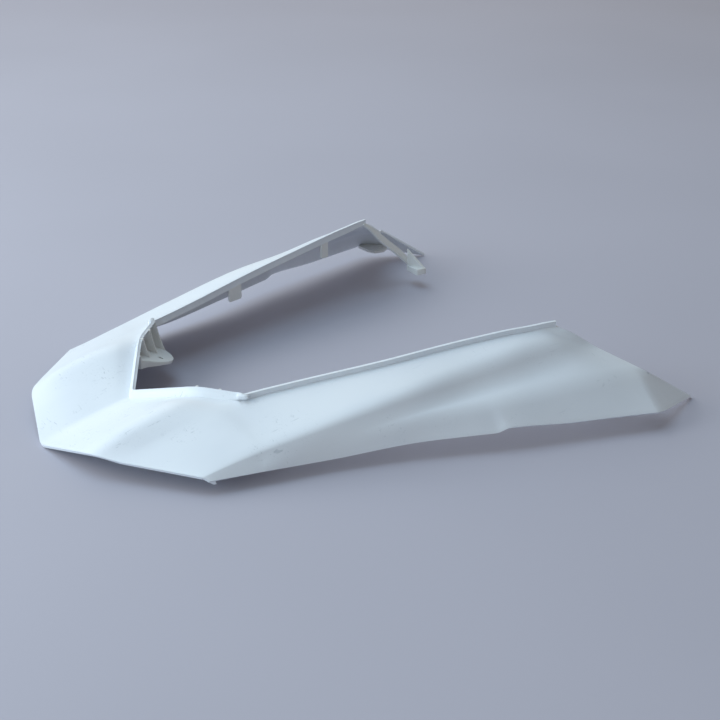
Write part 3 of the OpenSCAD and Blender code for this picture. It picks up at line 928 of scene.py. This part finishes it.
    def tilt(self) -> Array:
        """The pad's axes: turned about u by the fall into the opening, then about w by the rise."""
        a, b = -math.atan(self.fall), -math.atan(self.rise)
        about_u = np.array([[1, 0, 0], [0, math.cos(a), math.sin(a)], [0, -math.sin(a), math.cos(a)]])
        about_w = np.array([[math.cos(b), 0, -math.sin(b)], [0, 1, 0], [math.sin(b), 0, math.cos(b)]])
        return about_u @ about_w

    def drawn(self) -> Solid:
        """The plates of the bracket as one mesh, placed on its side."""
        axes = np.array([self.along, self.into, UP])
        ribs = [self.rib_at(i * self.pitch, 2.4) for i in range(1, self.ribs - 1)]
        plates = [self.pad_plate(), self.skirt(), self.back_wall(), self.closing_rib(), self.rib_at(0.0, 0.5), *ribs]
        return joined([p.moved(axes, self.corner * LEVEL) for p in plates])


@dataclass
class Tongue(Fitting):
    """A tongue that hangs under the seat rim and hooks over the seat's edge.

    Attributes:
        at: Distance of its middle from the tail tip.
        length: Length along the rim.
        depth: How far it hangs.
        thick: Thickness.
    """

    at: float = 228.0
    length: float = 15.0
    depth: float = 15.5
    thick: float = 2.4

    def drawn(self) -> Solid:
        """A plate along the rim, narrower at its lower end."""
        rim = self.form.corners(np.linspace(REAR_AT, CORNER_AT, 241))[:, 0]
        x = self.at - self.form.length / 2
        here = np.array([np.interp(x, rim[:, 0], rim[:, k]) for k in range(3)])
        ahead = np.array([np.interp(x + 1, rim[:, 0], rim[:, k]) for k in range(3)])
        along = unit((ahead - here) * LEVEL)
        outward = np.array([-along[1], along[0], 0])
        half, top = self.length / 2, -self.form.wall * 0.4
        outline = np.array([
            [-half, top], [half, top], [half, -self.depth + 1.5], [half - 1.5, -self.depth],
            [-half + 1.5, -self.depth], [-half, -self.depth + 1.5]])
        corners = here + outline[:, :1] * along + outline[:, 1:] * UP - outward * self.thick
        return prism(corners, outward * self.thick)


# The upper end of the front strut, as drawn.
STRUT_TOP = (394.0, 146.8, 66.5)


@dataclass
class FrontStrut(Fitting):
    """The leaning strut from the front end of the rim down to the clip, with the web behind it.

    Attributes:
        drop: Angle at which it falls forward, in degrees.
        lean: Angle of its plate from level across the part, in degrees.
        thick: Thickness of the plate and of the web.
    """

    drop: float = 42.7
    lean: float = 38.0
    thick: float = 2.4

    OUTLINE = np.array([
        [-6, 1.2], [1.5, 2.5], [19.5, 4], [36, 3.9], [40.5, 4.4], [51.5, 4.6], [60, 3.6], [66, 1.5],
        [69, -4], [54, -3.6], [38, -3.7], [22, -4], [4, -1.2], [-6, -2]])
    # Where the web meets the plate, along it and across it, and the skin, by section and points of it.
    WEB_ON_PLATE = (9, 1.6), (34, 1.6)
    WEB_SECTION, WEB_POINTS = CORNER_AT + 0.94, (24, 8)

    def axes(self) -> Array:
        """The strut's axes as rows: along it, across it, and through its plate."""
        d, e = math.radians(self.drop), math.radians(self.lean)
        along = [math.cos(d), 0, -math.sin(d)]
        across = [math.cos(e) * math.sin(d), math.sin(e), math.cos(e) * math.cos(d)]
        through_plate = [math.sin(e) * math.sin(d), -math.cos(e), math.sin(e) * math.cos(d)]
        return np.array([along, across, through_plate])

    def drawn(self) -> Solid:
        """The strut's plate and the thin web that ties it to the skin."""
        axes, base = self.axes(), self.form.placed(STRUT_TOP)
        flat = np.column_stack([self.OUTLINE, np.zeros(len(self.OUTLINE))])
        plate = prism(flat @ axes + base, -self.thick * axes[2])
        in_plate = [base + np.array([s, t, -self.thick / 2]) @ axes for s, t in self.WEB_ON_PLATE]
        s = np.array([self.WEB_SECTION])
        row = self.form.flank_rows(s)[0] - self.form.wall / 2 * self.form.normals("flank_rows", s, CORNER_AT + 1)[0]
        corners = np.array([*in_plate, *(row[k] for k in self.WEB_POINTS)])
        normal = unit(np.cross(corners[2] - corners[0], corners[3] - corners[1]))
        return joined([plate, prism(corners, -normal * self.thick)])


@dataclass
class FrontClip(Fitting):
    """The clip at the strut's lower end: a hollow block, and an upright web that carries it.

    Attributes:
        at: The way from the strut's upper end to the block's lower corner next to the skin.
        width: Width across the part.
        depth: Depth along the part.
        height: Height of the block.
        web: Thickness of the web and of the block's walls.
        rise: Height of the web over the block.
    """

    at: Triple = (45.5, -0.3, -54.5)
    width: float = 20.0
    depth: float = 11.5
    height: float = 6.4
    web: float = 2.4
    rise: float = 17.5

    def block(self, corner: Array) -> Solid:
        """A block with rounded upright corners, open at the bottom.

        Each level is a rectangle whose corners are cut twice, and the levels run up the outside,
        over the top, and down the inside.
        """
        def ring(inset: float, z: float, cut: float) -> Array:
            """A rectangle with cut corners, inset from the block's sides."""
            x0, x1, y0, y1 = inset, self.depth - inset, inset, self.width - inset
            c, k = cut, cut * 0.29
            plan = [[x0 + c, y0], [x1 - c, y0], [x1 - k, y0 + k], [x1, y0 + c], [x1, y1 - c], [x1 - k, y1 - k],
                    [x1 - c, y1], [x0 + c, y1], [x0 + k, y1 - k], [x0, y1 - c], [x0, y0 + c], [x0 + k, y0 + k]]
            return np.column_stack([plan, np.full(12, z)])

        levels = [ring(0, 0, 1.6), ring(0, self.height - 0.9, 1.6), ring(0.3, self.height - 0.3, 1.5),
                  ring(0.9, self.height, 1.2), ring(self.web, self.height - self.web, 0.5), ring(self.web, 0, 0.5)]
        index = np.arange(72).reshape(6, 12)
        walls = [strip(index[a], index[b], True) for a, b in ((0, 1), (1, 2), (2, 3), (4, 5), (5, 0))]
        return Solid(np.concatenate(levels) + corner, [*walls, index[3:4], index[4:5, ::-1]]).outward()

    def drawn(self) -> Solid:
        """The block and its triangular web, which stands across the block's diagonal."""
        corner = self.form.placed(STRUT_TOP) + self.at - np.array([0, self.width, 0])
        across = unit(np.array([self.width, self.depth, 0.0])) * self.web
        root = np.array([0.8, -0.8, self.height - self.web / 2])
        low = corner + [self.depth, 0, 0] - across / 2 + root * [-1, -1, 1]
        back = corner + [0, self.width, 0] - across / 2 + root
        web = prism(np.array([low, back + [0, 0, self.rise], back]), across)
        return joined([self.block(corner), web])


@dataclass
class CornerEar(Fitting):
    """The level ear inside the lower front corner, with its locating hole.

    Attributes:
        bore: Diameter of the hole.
        level: Height of its upper face, as drawn.
        thick: Thickness.
    """

    bore: float = 5.0
    level: float = 15.6
    thick: float = 2.6

    OUTLINE = np.array([
        [430, 224], [437, 228.5], [442, 227], [452.5, 219.5], [455, 215], [453.5, 204.6], [446, 199.5],
        [436, 201], [432, 208]])

    def drawn(self) -> Solid:
        """A plate with a bore."""
        shift = np.array([self.form.length / 2, 0])
        high = self.level + self.form.lift
        return plate_with_bore(
            self.OUTLINE - shift, np.array([449, 208.5]) - shift, self.bore / 2, high - self.thick, high)


@dataclass
class CornerBead(Fitting):
    """The rounded bead in the lip where the band across the back ends.

    Attributes:
        size: Half its length along the band, its half width and its half height.
        rise: Height of its middle over the seat rim.
        shift: How far its middle stands into the opening and along the band's line past its end.
    """

    size: Triple = (5.2, 2.2, 2.2)
    rise: float = 3.9
    shift: tuple[float, float] = (1.3, 1.6)

    def drawn(self) -> Solid:
        """A rounded block: each axis times sign(d) |d|^0.8 of a direction d on the sphere."""
        rings, around = 11, 24
        polar = np.linspace(0, np.pi, rings + 2)[1:-1, None]
        turn = np.linspace(0, 2 * np.pi, around + 1)[None, :-1]
        d = np.stack(np.broadcast_arrays(
            np.sin(polar) * np.cos(turn), np.sin(polar) * np.sin(turn), np.cos(polar)), axis=-1).reshape(-1, 3)
        d = np.concatenate([d, [UP, -UP]])
        local = np.sign(d) * np.abs(d) ** 0.8 * self.size
        index = np.arange(rings * around).reshape(rings, around)
        index = np.concatenate([index, index[:, :1]], axis=1)
        top, low = rings * around, rings * around + 1
        caps = [np.column_stack([a, np.full(around, pole), b]) for pole, a, b in (
            (top, index[0, :-1], index[0, 1:]), (low, index[-1, 1:], index[-1, :-1]))]
        corner, ridge, _ = self.form.back_edge()
        along = unit((corner - ridge) * LEVEL)
        axes = np.array([along, [-along[1], along[0], 0], UP])
        into, past = self.shift
        return Solid(local, [grid_faces(index), *caps]).moved(
            axes, corner - axes[1] * into + along * past + self.rise * UP).outward()


@dataclass
class TailSpur(Fitting):
    """A small spur that hangs from the corner where the tail edge meets the bottom edge."""

    def drawn(self) -> Solid:
        """A thin hooked plate from the corner."""
        corner = self.form.corners(np.array([0.0]))[0, 4]
        outline = np.array([[-2, -2.6, -0.2], [4.5, -0.6, -0.4], [6, -0.6, -4.6], [3.5, -1.3, -4.6]])
        return prism(corner + outline, unit(np.array([0.4, -0.9, 0])) * 2)


# ---- Studio ----


@dataclass(frozen=True)
class Lamp:
    """One square lamp of the studio, which faces the part.

    Attributes:
        name: Its name.
        azimuth: Its direction seen from the part, in degrees from X towards Y.
        height: Its elevation in degrees.
        power: Its power in watts.
        colour: Its colour.
        size: Length of its side in metres.
        distance: Its distance from the part in metres.
    """

    name: str
    azimuth: float
    height: float
    power: float
    colour: Triple
    size: float = 1.8
    distance: float = 2.6

    def place(self) -> Vector:
        """Its place: distance (cos h cos a, cos h sin a, sin h)."""
        a, h = math.radians(self.azimuth), math.radians(self.height)
        return Vector((math.cos(h) * math.cos(a), math.cos(h) * math.sin(a), math.sin(h))) * self.distance

    def hang(self) -> None:
        """Make the lamp."""
        light = bpy.data.lights.new(self.name, "AREA")
        light.shape = "SQUARE"
        light.size = self.size
        light.energy = self.power
        light.color = self.colour
        lamp = new_object(self.name, light)
        lamp.location = self.place()
        lamp.rotation_euler = (-self.place()).to_track_quat("-Z", "Y").to_euler()


@dataclass(frozen=True)
class Studio:
    """A plain pale floor, a broad window on the left and behind, and the photograph's camera.

    Attributes:
        floor: Colour of the floor.
        sky: Colour of the dim light from all round.
        sky_strength: Its strength.
        lamps: The lamps that make up the window and its bounce.
        camera_at: Place of the camera in metres.
        looks: The way it looks.
        lens: Focal length for a sensor 36 mm wide.
    """

    floor: Triple = (0.465, 0.455, 0.525)
    sky: Triple = (1.0, 0.97, 0.92)
    sky_strength: float = 0.27
    lamps: tuple[Lamp, ...] = (
        Lamp("window_high", 105, 45, 13.5, (0.78, 0.93, 1.0)),
        Lamp("window_low", 150, 25, 23.0, (0.93, 0.97, 0.97), 1.5, 2.0),
        Lamp("window_left", 185, 12, 18.0, (0.60, 0.84, 1.0), 1.5, 2.0),
        Lamp("bounce_near", -140, 15, 5.5, (0.95, 0.96, 1.0)),
        Lamp("bounce_far", 40, 15, 2.5, (1.0, 0.93, 0.80)),
        Lamp("window_back", 75, 30, 8.0, (0.95, 0.97, 0.97)),
        Lamp("ceiling", 120, 80, 18.5, (0.50, 0.76, 1.0)),
    )
    camera_at: Triple = (-0.545, -0.9687, 0.524)
    looks: Triple = (0.473, 0.776, -0.416)
    lens: float = 70.27

    def lay_floor(self) -> None:
        """A large level sheet with a faint cloudiness, as stage."""
        t = np.linspace(-6, 6, 13)
        x, y = np.meshgrid(t, t, indexing="ij")
        points = np.stack([x, y, np.zeros_like(x)], axis=-1).reshape(-1, 3)
        mesh = bpy.data.meshes.new("floor")
        mesh.from_pydata(points.tolist(), [], grid_faces(np.arange(169).reshape(13, 13)).tolist())
        floor = new_object("floor", mesh)
        material = bpy.data.materials.new("studio_floor")
        material.use_nodes = True
        w = Wiring(material.node_tree)
        shader = material.node_tree.nodes["Principled BSDF"].inputs
        shader["Roughness"].default_value = 0.75
        shader["Specular IOR Level"].default_value = 0.25
        cloud = w.between(w.noise(w.add("ShaderNodeTexCoord").outputs["Object"], 2.0, 2), 0.3, 0.7)
        darker = tuple(0.965 * c for c in self.floor)
        w.feed(shader["Base Color"], w.mixed(cloud, (*self.floor, 1), (*darker, 1)))
        mesh.materials.append(material)

    def set_lights(self) -> None:
        """Hang the lamps and set the dim light from all round."""
        for lamp in self.lamps:
            lamp.hang()
        world = bpy.data.worlds.new("studio")
        world.use_nodes = True
        ground = world.node_tree.nodes["Background"]
        ground.inputs["Color"].default_value = (*self.sky, 1)
        ground.inputs["Strength"].default_value = self.sky_strength
        bpy.context.scene.world = world

    def place_camera(self) -> None:
        """The camera that took the photograph, solved from the part's own symmetry."""
        data = bpy.data.cameras.new("camera")
        data.sensor_width = 36.0
        data.lens = self.lens
        data.clip_start = 0.05
        data.clip_end = 50.0
        camera = new_object("camera", data)
        camera.location = self.camera_at
        camera.rotation_euler = Vector(self.looks).to_track_quat("-Z", "Y").to_euler()
        bpy.context.scene.camera = camera


def main() -> None:
    """Build the fairing around its frame, dress it and set the studio."""
    logging.basicConfig(level=logging.INFO, format="%(name)s: %(message)s")
    bpy.context.scene.view_settings.view_transform = "Standard"
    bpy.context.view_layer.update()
    form = Form()
    groups = {"scuffs": scuff_group(), "moulding": mottle_group()}
    skin = MouldedPlastic("white_plastic_shell", groups, spots=SCUFFED).make()
    # The fittings are the same white plastic, but their colours are set greyer and warmer than the shell's. This is
    # painted shade, standing in for the olive grey shade in the hollow under the arms and behind the band.
    fitting = MouldedPlastic("white_plastic_fitting_painted_shade", groups, clean=(0.76, 0.775, 0.77), aged=(0.72, 0.735, 0.725),
                             wear=Wear.FITTING).make()

    shell = Shell("shell", form, skin, edge=0.6).build()
    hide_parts(CAD_NODE)
    fittings = (
        ("screw_bracket", Bracket, fitting, {}),
        ("rear_tongue", Tongue, fitting, {"at": 228.0, "length": 15.0, "depth": 15.5}),
        ("front_tongue", Tongue, fitting, {"at": 337.5, "length": 9.0, "depth": 17.0}),
        ("front_strut", FrontStrut, fitting, {}),
        ("front_clip", FrontClip, fitting, {}),
        ("corner_ear", CornerEar, fitting, {}),
        ("corner_bead", CornerBead, skin, {}),
        ("tail_spur", TailSpur, skin, {}),
    )
    for side in Side:
        for name, kind, material, sizes in fittings:
            kind(f"{name}_{side.label}", form, material, side=side, **sizes).build()

    studio = Studio()
    studio.lay_floor()
    studio.set_lights()
    studio.place_camera()


if __name__ == "__main__":
    main()
